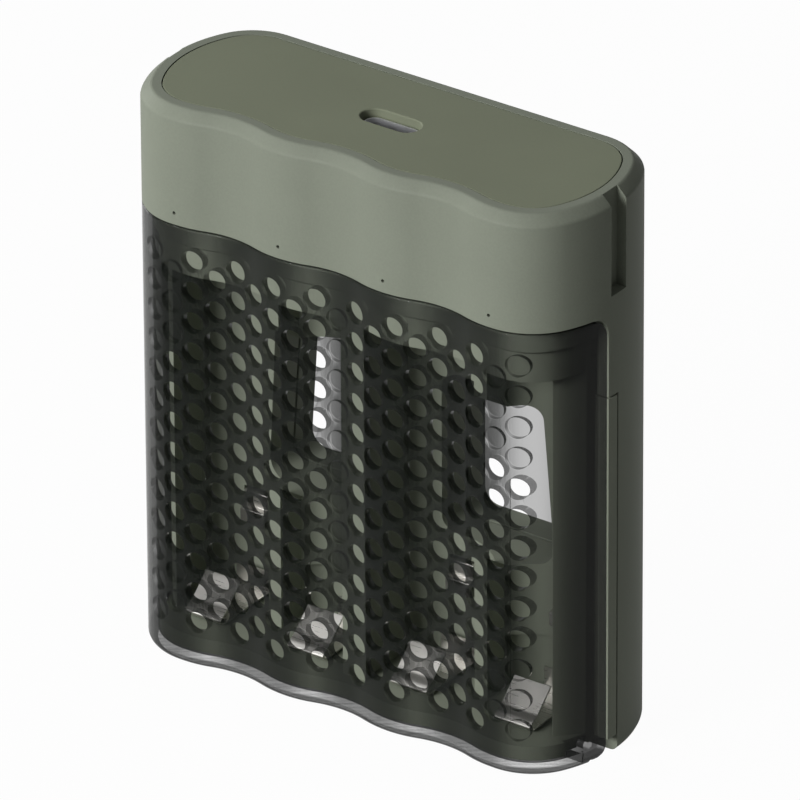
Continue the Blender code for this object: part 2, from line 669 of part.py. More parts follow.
def make_cover(material):
    """The clear smoked cover, full of round holes, with its two hinge pins.

    Its floor stops in front of the hinge, and only its ends reach round the pins.
    """
    cover = slab("cover", plan(), 0, COVER_TOP, material=material)
    bend_edges(cover, COVER_FILLET, lambda co: co.z < MM, segments=2)
    cut(cover, slab("cover_inside", plan(COVER_WALL), COVER_FLOOR, FAR))
    trim(cover, slab("cover_profile", cover_side_outline(), -FAR, FAR, axis="X"))
    heel = slab("cover_heel", plan(COVER_WALL), -FAR, COVER_FLOOR + BITE)
    cut(heel, block("cover_heel_front", (-FAR, -FAR, -FAR - BITE), (FAR, COVER_FLOOR_Y, FAR)))
    cut(cover, heel)
    spans = []
    for side in (-1, 1):
        inner = side * cover_hinge_x()
        spans.append(((inner - side * HINGE_PIN_LENGTH, HINGE_Y, HINGE_Z),
                      (inner + side * COVER_WALL / 2, HINGE_Y, HINGE_Z)))
    join(cover, rods("hinge_pins", spans, HINGE_PIN_DIAMETER, sides=10))
    spans = [[((x, -FAR, z), (x, HOLE_REACH - BACK, z)) for x, z in hole_places(sunk)]
             for sunk in (False, True)]
    dimples = rods("sunk_holes", spans[1], HOLE_DIAMETER, sides=HOLE_SIDES)
    cut(dimples, slab("dimple_floor", plan(DIMPLE_DEPTH), -MM, HEIGHT))
    cut(cover, rods("vent_holes", spans[0], HOLE_DIAMETER, sides=HOLE_SIDES), dimples)
    smooth(cover)
    cover.data.transform(Matrix.Translation((0, -HINGE_Y, -HINGE_Z)))
    cover.location = (0, HINGE_Y, HINGE_Z)
    return cover


# Contacts

def make_aa_contact(index, x, material):
    """Negative contact of an AA cell: a strip along the slot's foot, folded back as a spring."""
    low = SLOT_BOTTOM + CLEARANCE + STRIP / 2
    toe = AA_TOE_Y + AA_NOSE
    path = [(AA_HEEL_Y, SLOT_BOTTOM + AA_HEEL_RISE), (AA_HEEL_Y, low), (toe, low),
            (AA_TOE_Y, low + AA_FOLD / 2), (toe, low + AA_FOLD), (AA_KNEE_Y, low + AA_KNEE_RISE),
            (AA_TIP_Y, low + AA_TIP_RISE)]
    return bent_strip(f"aa_contact_{index}", path, AA_CONTACT_WIDTH, x, material)


def make_aaa_contact(index, x, material):
    """Negative contact of an AAA cell: a small tongue out of a slit in the slot's floor."""
    near = SLOT_DEEPEST - AAA_CONTACT_GAP
    out = near - AAA_CONTACT_REACH
    top = AAA_SLIT_Z - AAA_CONTACT_DROP
    path = [(SLOT_DEEPEST + TRAY_WALL, AAA_SLIT_Z), (near, AAA_SLIT_Z), (near, top),
            (out, top - STRIP / 2), (out, AAA_SLIT_Z - AAA_CONTACT_LENGTH)]
    return bent_strip(f"aaa_contact_{index}", path, AAA_CONTACT_WIDTH, x, material)


def make_plus_contact(index, x, material):
    """Positive contact: a strip under the slot's roof, dished down to meet the cell's cap."""
    high = SLOT_TOP - CLEARANCE - STRIP / 2
    low = SLOT_TOP - PLUS_CONTACT_DROP
    path = [(PLUS_CONTACT_FRONT, high), (PLUS_CONTACT_FRONT + PLUS_CONTACT_RAMP, low),
            (PLUS_CONTACT_BACK - PLUS_CONTACT_RAMP, low), (PLUS_CONTACT_BACK, high)]
    return bent_strip(f"plus_contact_{index}", path, PLUS_CONTACT_WIDTH, x, material)


# Inside the head

def make_board(material):
    board_top = LEDGE_BOTTOM - BOARD_TOP_GAP
    half = BOARD_WIDTH / 2
    board = block("main_board", (-half, BOARD_FRONT, BOARD_BOTTOM),
                  (half, BOARD_FRONT + BOARD_THICKNESS, board_top), material)
    cut(board, rods("board_holes", [((x, 0, z), (x, BACK_INNER, z)) for x, z in board_screw_places()],
                    SCREW_SHANK + 2 * CLEARANCE, sides=10))
    return board


def make_usb(shell_material, tongue_material):
    """Port: a drawn steel shell with a contact tongue standing in it, facing up."""
    top = HEIGHT - USB_RECESS
    centre = (0.0, BOARD_FRONT - CLEARANCE - USB_HEIGHT / 2)
    shell = slab("usb_shell", stadium(USB_WIDTH, USB_HEIGHT, centre), top - USB_LENGTH, top,
                 material=shell_material)
    cut(shell, slab("usb_bore", stadium(USB_WIDTH - 2 * USB_SHELL, USB_HEIGHT - 2 * USB_SHELL, centre),
                    top - USB_LENGTH + USB_SHELL, FAR))
    half = TONGUE_WIDTH / 2
    block("usb_tongue", (-half, centre[1] - TONGUE_THICKNESS / 2, top - USB_LENGTH + USB_SHELL + CLEARANCE),
          (half, centre[1] + TONGUE_THICKNESS / 2, top - TONGUE_RECESS),
          tongue_material)


def make_lamps(led_material, pipe_material):
    """A status light for each slot, and the rod that carries it to its pinhole."""
    back = BOARD_FRONT - SOLDER
    half = LED_SIZE / 2
    for index, x in enumerate(SLOTS, start=1):
        block(f"status_led_{index}", (x - half, back - LED_THICKNESS, LED_HEIGHT - half),
              (x + half, back, LED_HEIGHT + half), led_material)
        spans = [((x, -BACK + HOUSING_WALL + CLEARANCE, LED_HEIGHT),
                  (x, back - LED_THICKNESS - CLEARANCE, LED_HEIGHT))]
        smooth(rods(f"light_pipe_{index}", spans, LIGHT_PIPE_DIAMETER, material=pipe_material))


def make_components(chip_material, coil_material, can_material):
    """The parts that do the charging, on the front of the board."""
    back = BOARD_FRONT - SOLDER
    half = CHIP_SIZE / 2
    block("controller_chip", (-half, back - CHIP_THICKNESS, CHIP_Z - half), (half, back, CHIP_Z + half),
          chip_material)
    for side, word in ((-1, "left"), (1, "right")):
        half = INDUCTOR_SIZE / 2
        x = side * INDUCTOR_X
        coil = block("power_inductor_" + word, (x - half, back - INDUCTOR_THICKNESS, CHIP_Z - half),
                     (x + half, back, CHIP_Z + half), coil_material)
        bend_edges(coil, INDUCTOR_CHAMFER, lambda co: True)
        spans = [((side * CAPACITOR_X, back - CAPACITOR_LENGTH, CHIP_Z), (side * CAPACITOR_X, back, CHIP_Z))]
        smooth(rods("capacitor_" + word, spans, CAPACITOR_DIAMETER, material=can_material))


# Screws

def make_screw(name, place, head_y, length, material):
    """A slotted self-tapping screw that goes in from the back, or from the front when length is negative."""
    x, z = place
    way = 1 if length > 0 else -1
    screw = rods(name, [((x, head_y, z), (x, head_y - way * SCREW_HEAD_HEIGHT, z))], SCREW_HEAD,
                 material=material)
    join(screw, rods(name + "_shank", [((x, head_y - way * SCREW_HEAD_HEIGHT / 2, z),
                                        (x, head_y - way * SCREW_HEAD_HEIGHT - length, z))],
                     SCREW_SHANK, sides=8))
    slot = (min(head_y + way * MM, head_y - way * SCREW_SLOT_DEPTH),
            max(head_y + way * MM, head_y - way * SCREW_SLOT_DEPTH))
    cut(screw, block(name + "_slot", (x - SCREW_HEAD, slot[0], z - SCREW_SLOT / 2),
                     (x + SCREW_HEAD, slot[1], z + SCREW_SLOT / 2)))
    smooth(screw)


def main():
    clear_scene()
    shell = finish("olive_abs", "6E7362", 0.55)
    plate = finish("olive_abs_plate", "6B705F", 0.6)
    smoke = finish("smoked_polycarbonate", "3C403A", 0.15, alpha=0.45)
    nickel = finish("nickel_plated_strip", "C9C8C3", 0.25, metallic=1.0)
    green = finish("solder_mask_green", "1E5A38", 0.45)
    steel = finish("drawn_steel", "B8B9BC", 0.3, metallic=1.0)
    black = finish("black_moulding", "151515", 0.5)
    clear = finish("clear_light_pipe", "E8ECE8", 0.1, alpha=0.5)
    white = finish("white_led", "F2F0E2", 0.3)
    zinc = finish("zinc_plated_screw", "9FA2A4", 0.35, metallic=1.0)

    make_main_housing(shell)
    make_top_plate(plate)
    make_battery_tray(shell)
    make_cover(smoke)
    for index, x in enumerate(SLOTS, start=1):
        make_aa_contact(index, x, nickel)
        make_aaa_contact(index, x, nickel)
        make_plus_contact(index, x, nickel)
    make_board(green)
    make_usb(steel, black)
    make_lamps(white, clear)
    make_components(black, black, steel)
    for index, place in enumerate(tray_screw_places(), start=1):
        make_screw(f"housing_screw_{index}", place, BACK - SCREW_SINK, SCREW_LENGTH, zinc)
    for index, place in enumerate(board_screw_places(), start=1):
        make_screw(f"board_screw_{index}", place, BOARD_FRONT - CLEARANCE - SCREW_HEAD_HEIGHT,
                   -SCREW_LENGTH, zinc)


main()
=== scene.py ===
import math

import bpy
from mathutils import Matrix, Vector


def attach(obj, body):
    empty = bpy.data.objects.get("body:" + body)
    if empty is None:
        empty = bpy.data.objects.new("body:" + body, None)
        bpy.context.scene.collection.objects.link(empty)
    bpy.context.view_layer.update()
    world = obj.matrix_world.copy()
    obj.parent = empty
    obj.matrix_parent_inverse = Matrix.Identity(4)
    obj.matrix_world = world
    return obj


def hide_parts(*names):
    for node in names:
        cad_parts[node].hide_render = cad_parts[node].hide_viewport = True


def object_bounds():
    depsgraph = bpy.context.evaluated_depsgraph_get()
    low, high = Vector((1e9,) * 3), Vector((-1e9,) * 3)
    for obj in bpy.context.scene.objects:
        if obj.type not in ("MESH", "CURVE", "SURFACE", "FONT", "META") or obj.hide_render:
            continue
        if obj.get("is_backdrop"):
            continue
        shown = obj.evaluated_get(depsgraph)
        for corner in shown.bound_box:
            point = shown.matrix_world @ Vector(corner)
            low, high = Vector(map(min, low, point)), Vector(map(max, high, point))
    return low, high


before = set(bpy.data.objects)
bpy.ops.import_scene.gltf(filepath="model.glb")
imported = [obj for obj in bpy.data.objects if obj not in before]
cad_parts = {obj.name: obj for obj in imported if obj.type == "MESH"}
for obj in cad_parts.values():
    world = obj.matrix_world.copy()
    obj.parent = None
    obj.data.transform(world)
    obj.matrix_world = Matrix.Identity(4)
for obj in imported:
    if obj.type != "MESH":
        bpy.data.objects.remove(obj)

cad_low, cad_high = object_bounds()

# Floor, surroundings, lamps and camera. The charger stands on white. A key lamp lights it from
# the front, a weaker one from its left end, and two faint ones from high on the left and from
# above. The camera is a long way off behind a long lens, as the slight perspective shows.
MM = 0.001
MIRROR_SHARE = 0.6


def deselect():
    """Leaves object mode with nothing selected."""
    if bpy.context.mode != "OBJECT":
        bpy.ops.object.mode_set(mode="OBJECT")
    bpy.ops.object.select_all(action="DESELECT")


def colour(code):
    """A linear colour from an sRGB hex code."""
    channels = [int(code[start:start + 2], 16) / 255 for start in (0, 2, 4)]
    linear = [c / 12.92 if c <= 0.04045 else ((c + 0.055) / 1.055) ** 2.4 for c in channels]
    return (*linear, 1.0)


def add_node(tree, kind, inputs=None, **settings):
    """Adds a node. Inputs are values, or other nodes' outputs to link."""
    node = tree.nodes.new(kind)
    for name, value in settings.items():
        setattr(node, name, value)
    for socket, value in (inputs or {}).items():
        if isinstance(value, bpy.types.NodeSocket):
            tree.links.new(value, node.inputs[socket])
        else:
            node.inputs[socket].default_value = value
    return node


def seen_rays(tree):
    """How white a ray sees the background: fully from the camera or through glass, and less in
    a reflection, so that glossy pieces keep their own colour."""
    paths = add_node(tree, "ShaderNodeLightPath")
    clear = add_node(tree, "ShaderNodeMath", {0: paths.outputs["Is Camera Ray"],
                                              1: paths.outputs["Is Transmission Ray"]}, operation="MAXIMUM")
    mirrored = add_node(tree, "ShaderNodeMath", {0: paths.outputs["Is Glossy Ray"], 1: MIRROR_SHARE},
                        operation="MULTIPLY")
    return add_node(tree, "ShaderNodeMath", {0: clear.outputs[0], 1: mirrored.outputs[0]},
                    operation="MAXIMUM").outputs[0]


WHITE = colour("FFFFFF")
AMBIENT_STRENGTH = 0.09
world = bpy.data.worlds.new("white_surroundings")
bpy.context.scene.world = world
world.use_nodes = True
world.node_tree.nodes.clear()
strength = add_node(world.node_tree, "ShaderNodeMix", {
    0: seen_rays(world.node_tree), 2: AMBIENT_STRENGTH, 3: 1.0})
surroundings = add_node(world.node_tree, "ShaderNodeBackground", {
    "Color": WHITE, "Strength": strength.outputs[0]})
add_node(world.node_tree, "ShaderNodeOutputWorld", {"Surface": surroundings.outputs[0]})

FLOOR_SIZE = 12.0
FLOOR_GLOW = 0.97
deselect()
bpy.ops.mesh.primitive_plane_add(size=FLOOR_SIZE, location=(0, 0, 0))
floor = bpy.context.object
floor.name = "floor"
paper = bpy.data.materials.new("white_paper")
paper.use_nodes = True
tree = paper.node_tree
tree.nodes.clear()
matt = add_node(tree, "ShaderNodeBsdfDiffuse", {"Color": colour("BEBEBC")})
glow = add_node(tree, "ShaderNodeEmission", {"Color": WHITE, "Strength": 1.0})
share = add_node(tree, "ShaderNodeMath", {0: seen_rays(tree), 1: FLOOR_GLOW}, operation="MULTIPLY")
surface = add_node(tree, "ShaderNodeMixShader", {
    0: share.outputs[0], 1: matt.outputs[0], 2: glow.outputs[0]})
add_node(tree, "ShaderNodeOutputMaterial", {"Surface": surface.outputs[0]})
floor.data.materials.append(paper)
floor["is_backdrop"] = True


def lamp(name, azimuth, elevation, distance, size, watts):
    """A square soft lamp that looks at the middle of the charger."""
    light = bpy.data.lights.new(name, "AREA")
    light.shape = "SQUARE"
    light.size = size
    light.energy = watts
    light.color = (1, 1, 1)
    thing = bpy.data.objects.new(name, light)
    bpy.context.scene.collection.objects.link(thing)
    a, e = math.radians(azimuth), math.radians(elevation)
    away = Vector((math.sin(a) * math.cos(e), -math.cos(a) * math.cos(e), math.sin(e)))
    thing.location = (cad_low + cad_high) / 2 + away * distance
    thing.rotation_euler = away.to_track_quat("Z", "Y").to_euler()
    return thing


lamp("key_lamp", -12, 26, 1.0, 0.35, 10.5)
lamp("left_lamp", -95, 15, 1.2, 0.5, 5.5)
lamp("high_left_lamp", -50, 48, 1.0, 0.3, 1.2)
lamp("top_lamp", -20, 82, 1.0, 0.6, 1.0)

CAMERA_AZIMUTH = math.radians(35.418)
CAMERA_ELEVATION = math.radians(28.268)
CAMERA_ROLL = math.radians(-0.305)
CAMERA_DISTANCE = 1.92096
CAMERA_TARGET = Vector((0.001003, 0.0, 0.044851))
CAMERA_LENS = 611.1
CAMERA_SHIFT = 0.0022
eye = bpy.data.cameras.new("camera")
eye.lens = CAMERA_LENS
eye.sensor_width = 36.0
eye.shift_x = CAMERA_SHIFT
eye.clip_end = 50.0
camera = bpy.data.objects.new("camera", eye)
bpy.context.scene.collection.objects.link(camera)
out = Vector((math.sin(CAMERA_AZIMUTH) * math.cos(CAMERA_ELEVATION),
              -math.cos(CAMERA_AZIMUTH) * math.cos(CAMERA_ELEVATION), math.sin(CAMERA_ELEVATION)))
level = Vector((math.cos(CAMERA_AZIMUTH), math.sin(CAMERA_AZIMUTH), 0))
upright = out.cross(level)
right = level * math.cos(CAMERA_ROLL) + upright * math.sin(CAMERA_ROLL)
up = upright * math.cos(CAMERA_ROLL) - level * math.sin(CAMERA_ROLL)
camera.matrix_world = Matrix.Translation(CAMERA_TARGET + out * CAMERA_DISTANCE) @ Matrix(
    (right, up, out)).transposed().to_4x4()
bpy.context.scene.camera = camera
bpy.context.scene.view_settings.view_transform = "Standard"

# Main housing: the head, back and ends in one ABS moulding, with the window collars, the lip
# behind the cover's top edge, the dock grooves and the four pinholes. It is moulded with a
# fine matt texture, and screwed to the tray from behind.
CELL_PITCH = 18.0 * MM
SLOTS = [-27.0 * MM, -9.0 * MM, 9.0 * MM, 27.0 * MM]
HALF_WIDTH = cad_high.x
BACK = cad_high.y
HEIGHT = cad_high.z
SIDE_RADIUS = 20.3 * MM
CORNER_RADIUS = 10.06 * MM
WAVE_DEPTH = 1.3 * MM
CREST_SHARE = 0.515
CORNER_X = SLOTS[-1] + 0.55 * MM
SWEEP = 2 * math.atan(WAVE_DEPTH / (CELL_PITCH / 2))
CREST_RADIUS = CREST_SHARE * CELL_PITCH / 2 / math.sin(SWEEP)
VALLEY_RADIUS = (1 - CREST_SHARE) * CELL_PITCH / 2 / math.sin(SWEEP)
CORNER_Y = BACK - CORNER_RADIUS
SIDE_X = HALF_WIDTH - SIDE_RADIUS
CORNER_TURN = math.atan2(CORNER_Y, CORNER_X - SIDE_X)
QUARTER = math.pi / 2
FAR = 0.2
CLEARANCE = 0.3 * MM


def wave_plan(inset=0.0):
    """The charger's plan as a start and pen strokes, its line moved inwards by inset."""
    strokes = []
    for index, x in enumerate(SLOTS):
        crest = (x, -BACK + CREST_RADIUS)
        whole = index not in (0, len(SLOTS) - 1)
        strokes.append((crest, 2 * SWEEP if whole else SWEEP, 14 if whole else 7))
        if index < len(SLOTS) - 1:
            valley = (x + CELL_PITCH / 2, WAVE_DEPTH - BACK - VALLEY_RADIUS)
            strokes.append((valley, -2 * SWEEP, 14))
    for side in (1, -1):
        if side > 0:
            strokes.append((CORNER_X, -BACK + inset))
        else:
            strokes.append((-CORNER_X, BACK - inset))
        strokes.append(((side * CORNER_X, -side * CORNER_Y), QUARTER - CORNER_TURN, 14))
        strokes.append(((side * SIDE_X, 0.0), 2 * CORNER_TURN, 24))
        strokes.append(((side * CORNER_X, side * CORNER_Y), QUARTER - CORNER_TURN, 14))
    strokes.append((SLOTS[0], -BACK + inset))
    return (SLOTS[0], -BACK + inset), strokes


def rounded_frame(bottom_sides, bottom, top_sides, top, radius, steps=8):
    """Four round corners, with the left and right sides given at the bottom and at the top."""
    (low_left, low_right), (high_left, high_right) = bottom_sides, top_sides
    return (low_left + radius, bottom), [
        (low_right - radius, bottom), ((low_right - radius, bottom + radius), QUARTER, steps),
        (high_right, top - radius), ((high_right - radius, top - radius), QUARTER, steps),
        (high_left + radius, top), ((high_left + radius, top - radius), QUARTER, steps),
        (low_left, bottom + radius), ((low_left + radius, bottom + radius), QUARTER, steps)]


def pen(name, plan):
    """Draws an outline on the ground: one vertex is pulled straight or spun about a centre."""
    start, strokes = plan
    deselect()
    bpy.ops.mesh.primitive_plane_add(size=MM, location=(0, 0, 0))
    piece = bpy.context.object
    piece.name = name
    bpy.ops.object.mode_set(mode="EDIT")
    bpy.ops.mesh.merge(type="CENTER")
    here = Vector((*start, 0))
    bpy.ops.transform.translate(value=here)
    for stroke in strokes:
        if len(stroke) == 2:
            there = Vector((*stroke, 0))
            if (there - here).length > 1e-7:
                bpy.ops.mesh.extrude_vertices_move(TRANSFORM_OT_translate={"value": there - here})
        else:
            centre = Vector((*stroke[0], 0))
            bpy.ops.mesh.spin(steps=stroke[2], angle=-stroke[1], center=centre, axis=(0, 0, 1))
            there = centre + Matrix.Rotation(stroke[1], 3, "Z") @ (here - centre)
        here = there
    bpy.ops.mesh.select_all(action="SELECT")
    bpy.ops.mesh.remove_doubles(threshold=1e-6)
    return piece


ALONG = {"Z": Matrix.Identity(4),
         "X": Matrix(((0, 0, 1, 0), (1, 0, 0, 0), (0, 1, 0, 0), (0, 0, 0, 1))),
         "Y": Matrix(((1, 0, 0, 0), (0, 0, -1, 0), (0, 1, 0, 0), (0, 0, 0, 1)))}


def slab(name, plan, low, high, axis="Z"):
    """An outline filled and extruded from low to high along an axis."""
    piece = pen(name, plan)
    bpy.ops.mesh.edge_face_add()
    if axis == "Y":
        low, high = -high, -low
    bpy.ops.transform.translate(value=(0, 0, low))
    bpy.ops.mesh.extrude_region_move(TRANSFORM_OT_translate={"value": (0, 0, high - low)})
    bpy.ops.mesh.select_all(action="SELECT")
    bpy.ops.mesh.normals_make_consistent(inside=False)
    deselect()
    piece.data.transform(ALONG[axis])
    return piece


def box(name, low, high):
    """A block between two corners."""
    deselect()
    middle = [(a + b) / 2 for a, b in zip(low, high)]
    size = [b - a for a, b in zip(low, high)]
    bpy.ops.mesh.primitive_cube_add(size=1, location=middle, scale=size)
    piece = bpy.context.object
    piece.name = name
    bpy.ops.object.transform_apply(location=True, rotation=True, scale=True)
    return piece


def rod(name, start, end, radius, sides=32):
    """A capped cylinder between two points."""
    start, end = Vector(start), Vector(end)
    deselect()
    bpy.ops.mesh.primitive_cylinder_add(vertices=sides, radius=radius, depth=(end - start).length)
    piece = bpy.context.object
    piece.name = name
    piece.data.transform(Matrix.Translation((start + end) / 2)
                         @ (end - start).to_track_quat("Z", "Y").to_matrix().to_4x4())
    return piece


def apply_modifier(piece, kind, **settings):
    """Adds one modifier and applies it."""
    change = piece.modifiers.new(kind.lower(), kind)
    for name, value in settings.items():
        setattr(change, name, value)
    deselect()
    bpy.context.view_layer.objects.active = piece
    piece.select_set(True)
    bpy.ops.object.modifier_apply(modifier=change.name)


def cut(piece, *tools, operation="DIFFERENCE"):
    """Cuts tools out of a piece, or joins them on, and throws the tools away."""
    for tool in tools:
        apply_modifier(piece, "BOOLEAN", object=tool, operation=operation, solver="EXACT")
        bpy.data.objects.remove(tool, do_unlink=True)


def bevel_where(piece, test, width, segments=3, profile=0.5):
    """Bevels the edges whose two ends both pass a test on their place."""
    deselect()
    bpy.context.view_layer.objects.active = piece
    piece.select_set(True)
    for vertex in piece.data.vertices:
        vertex.select = test(vertex.co)
    for edge in piece.data.edges:
        edge.select = all(test(piece.data.vertices[index].co) for index in edge.vertices)
    for face in piece.data.polygons:
        face.select = False
    bpy.ops.object.mode_set(mode="EDIT")
    bpy.ops.mesh.select_mode(type="EDGE")
    bpy.ops.mesh.bevel(offset=width, segments=segments, profile=profile, affect="EDGES")
    bpy.ops.mesh.select_mode(type="VERT")
    deselect()


def shade(piece, angle=30.0):
    """Smooths every edge below an angle, and lets the large faces stay flat."""
    deselect()
    bpy.context.view_layer.objects.active = piece
    piece.select_set(True)
    bpy.ops.object.shade_smooth_by_angle(angle=math.radians(angle))
    apply_modifier(piece, "WEIGHTED_NORMAL", keep_sharp=True)
    deselect()


def dress(piece, material, slot, body, *nodes):
    """Gives a finished piece its material and its body, and hides the nodes it stands for; slot is not used.
    """
    piece.data.materials.clear()
    piece.data.materials.append(material)
    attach(piece, body)
    if nodes:
        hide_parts(*nodes)


def moulded_abs(name, code, grain=0.35 * MM, depth=0.03 * MM, roughness=0.52):
    """ABS moulded in a spark-eroded tool: even colour with a faint cloudiness, and a fine matt
    grain, drawn a little coarser than the real 0.1 mm so that it shows."""
    material = bpy.data.materials.new(name)
    material.use_nodes = True
    tree = material.node_tree
    shader = tree.nodes["Principled BSDF"]
    place = add_node(tree, "ShaderNodeTexCoord").outputs["Object"]
    cloud = add_node(tree, "ShaderNodeTexNoise", {"Vector": place, "Scale": 1 / (22 * MM), "Detail": 2.0})
    grains = add_node(tree, "ShaderNodeTexNoise", {"Vector": place, "Scale": 1 / grain, "Detail": 2.0})
    tint = add_node(tree, "ShaderNodeMapRange", {0: cloud.outputs["Fac"], 1: 0.3, 2: 0.7, 3: 0.96, 4: 1.04})
    shadow = add_node(tree, "ShaderNodeMapRange", {
        0: grains.outputs["Fac"], 1: 0.3, 2: 0.7, 3: 0.97, 4: 1.03})
    both = add_node(tree, "ShaderNodeMath", {0: tint.outputs[0], 1: shadow.outputs[0]}, operation="MULTIPLY")
    mixed = add_node(tree, "ShaderNodeVectorMath", {0: colour(code)[:3], 3: both.outputs[0]},
                     operation="SCALE")
    bump = add_node(tree, "ShaderNodeBump", {"Height": grains.outputs["Fac"], "Strength": 0.25,
                                             "Distance": depth})
    rough = add_node(tree, "ShaderNodeMapRange", {0: grains.outputs["Fac"], 1: 0.3, 2: 0.7,
                                                  3: roughness - 0.05, 4: roughness + 0.05})
    tree.links.new(mixed.outputs[0], shader.inputs["Base Color"])
    tree.links.new(rough.outputs[0], shader.inputs["Roughness"])
    tree.links.new(bump.outputs[0], shader.inputs["Normal"])
    shader.inputs["Specular IOR Level"].default_value = 0.08
    return material


HOUSING_WALL = 2.0 * MM
HEAD_BOTTOM = 70.9 * MM
SHOULDER_BOTTOM = 57.8 * MM
SHOULDER_Y = -2.3 * MM
SHOULDER_CORNER = 3.3 * MM
SEAM_Y = -0.1 * MM
LIP_BOTTOM = HEAD_BOTTOM - 4.0 * MM
PLATE_SEAT = HEIGHT - 1.8 * MM
LEDGE_BOTTOM = PLATE_SEAT - 2.0 * MM
PLATE_INSET = 3.0 * MM
WINDOW_SEAM = BACK - 4.3 * MM
LED_HEIGHT = 72.7 * MM
BITE = 0.4 * MM
SCREW_PLACES = [(side * (CORNER_X - 2.5 * MM), z) for side in (-1, 1) for z in (9 * MM, 55 * MM)]
WINDOW_NEAR = 5.6 * MM
WINDOW_FAR = 24.7 * MM
WINDOW_LEAN = 1.4 * MM
WINDOW_SILL = 23.4 * MM
WINDOW_TOP = 48.9 * MM
WINDOW_CORNER = 2.5 * MM
WINDOW_WALL = 1.5 * MM
DOCK_DEPTH = 1.7 * MM
DOCK_HALF = 1.8 * MM
DOCK_LENGTH = 15.5 * MM
PINHOLE_RADIUS = 0.27 * MM
SCREW_BORE = 1.3 * MM


def window_plan(side, margin=0.0):
    """One window in X and Z, grown by margin. Its outer side leans in at the top."""
    near = WINDOW_NEAR - margin
    sides = []
    for far in (WINDOW_FAR + margin, WINDOW_FAR - WINDOW_LEAN + margin):
        sides.append((near, far) if side > 0 else (-far, -near))
    return rounded_frame(sides[0], WINDOW_SILL - margin, sides[1], WINDOW_TOP + margin,
                         WINDOW_CORNER + margin)


housing = slab("housing_moulding", wave_plan(), 0, HEIGHT)
bevel_where(housing, lambda place: place.z > HEIGHT - 0.1 * MM, 1.5 * MM, segments=1)
bevel_where(housing, lambda place: place.z > HEIGHT - 1.6 * MM, 0.3 * MM, segments=2)
bevel_where(housing, lambda place: place.z < 0.1 * MM, 1.2 * MM, segments=5)
cut(housing,
    slab("cavity", wave_plan(HOUSING_WALL), 1.9 * MM, LEDGE_BOTTOM),
    slab("ledge_opening", wave_plan(PLATE_INSET + 1.2 * MM), LEDGE_BOTTOM - BITE, PLATE_SEAT),
    slab("plate_pocket", wave_plan(PLATE_INSET), PLATE_SEAT, FAR),
    box("bay_front", (-FAR, -FAR, -FAR), (FAR, SEAM_Y, SHOULDER_BOTTOM)),
    slab("shoulder_front", ((-FAR, SHOULDER_BOTTOM - BITE), [
        (SHOULDER_Y, SHOULDER_BOTTOM - BITE), (SHOULDER_Y, HEAD_BOTTOM - SHOULDER_CORNER),
        ((SHOULDER_Y - SHOULDER_CORNER, HEAD_BOTTOM - SHOULDER_CORNER), QUARTER, 12),
        (-FAR, HEAD_BOTTOM), (-FAR, SHOULDER_BOTTOM - BITE)]), -FAR, FAR, "X"))
lip = slab("lip", wave_plan(1.6 * MM), LIP_BOTTOM, HEAD_BOTTOM + BITE)
bevel_where(lip, lambda place: place.z < LIP_BOTTOM + 0.1 * MM, 0.3 * MM)
cut(lip, slab("lip_inside", wave_plan(3.1 * MM), 0, FAR),
    box("lip_back", (-FAR, SHOULDER_Y - CLEARANCE, 0), (FAR, FAR, FAR)))
cut(housing, lip, operation="UNION")
for side in (-1, 1):
    cut(housing, slab("collar", window_plan(side, WINDOW_WALL), WINDOW_SEAM, BACK - BITE, "Y"),
        operation="UNION")
    cut(housing, slab("window", window_plan(side), 0, FAR, "Y"))
    outer, inner = side * (HALF_WIDTH + MM), side * (HALF_WIDTH - DOCK_DEPTH)
    backing = inner - side * 1.2 * MM
    cut(housing, box("dock_backing", (min(backing, inner + side * BITE), -3.0 * MM, HEIGHT - 16.7 * MM),
                     (max(backing, inner + side * BITE), 3.0 * MM, LEDGE_BOTTOM + BITE)), operation="UNION")
    groove = box("dock_groove", (min(inner, outer), -DOCK_HALF, HEIGHT - DOCK_LENGTH),
                 (max(inner, outer), DOCK_HALF, FAR))
    cut(housing, groove)
for x in SLOTS:
    cut(housing, rod("pinhole", (x, -FAR, LED_HEIGHT), (x, -BACK + HOUSING_WALL + MM, LED_HEIGHT),
                     PINHOLE_RADIUS, sides=16))
for x, z in SCREW_PLACES:
    cut(housing, rod("screw_hole", (x, 0, z), (x, FAR, z), SCREW_BORE),
        rod("screw_recess", (x, BACK - 1.5 * MM, z), (x, FAR, z), 2.4 * MM))
shade(housing)
olive = moulded_abs("olive_abs_spark_texture", "757A6E")
dress(housing, olive, "olive_abs", "charger", "main_housing")

# Top plate: a flat ABS plate dropped onto the ledge inside the head's rim, with the port's
# opening, rounded at its top edge and running straight down through a collar. It carries the same fine matt
# texture.
PORT_WIDTH = 9.7 * MM
PORT_HEIGHT = 4.1 * MM


def stadium(width, height, centre=(0.0, 0.0), steps=14):
    """A slot with round ends as a start and pen strokes."""
    radius = height / 2
    half = width / 2 - radius
    x, y = centre
    return (x - half, y - radius), [(x + half, y - radius), ((x + half, y), math.pi, steps),
                                    (x - half, y + radius), ((x - half, y), math.pi, steps)]


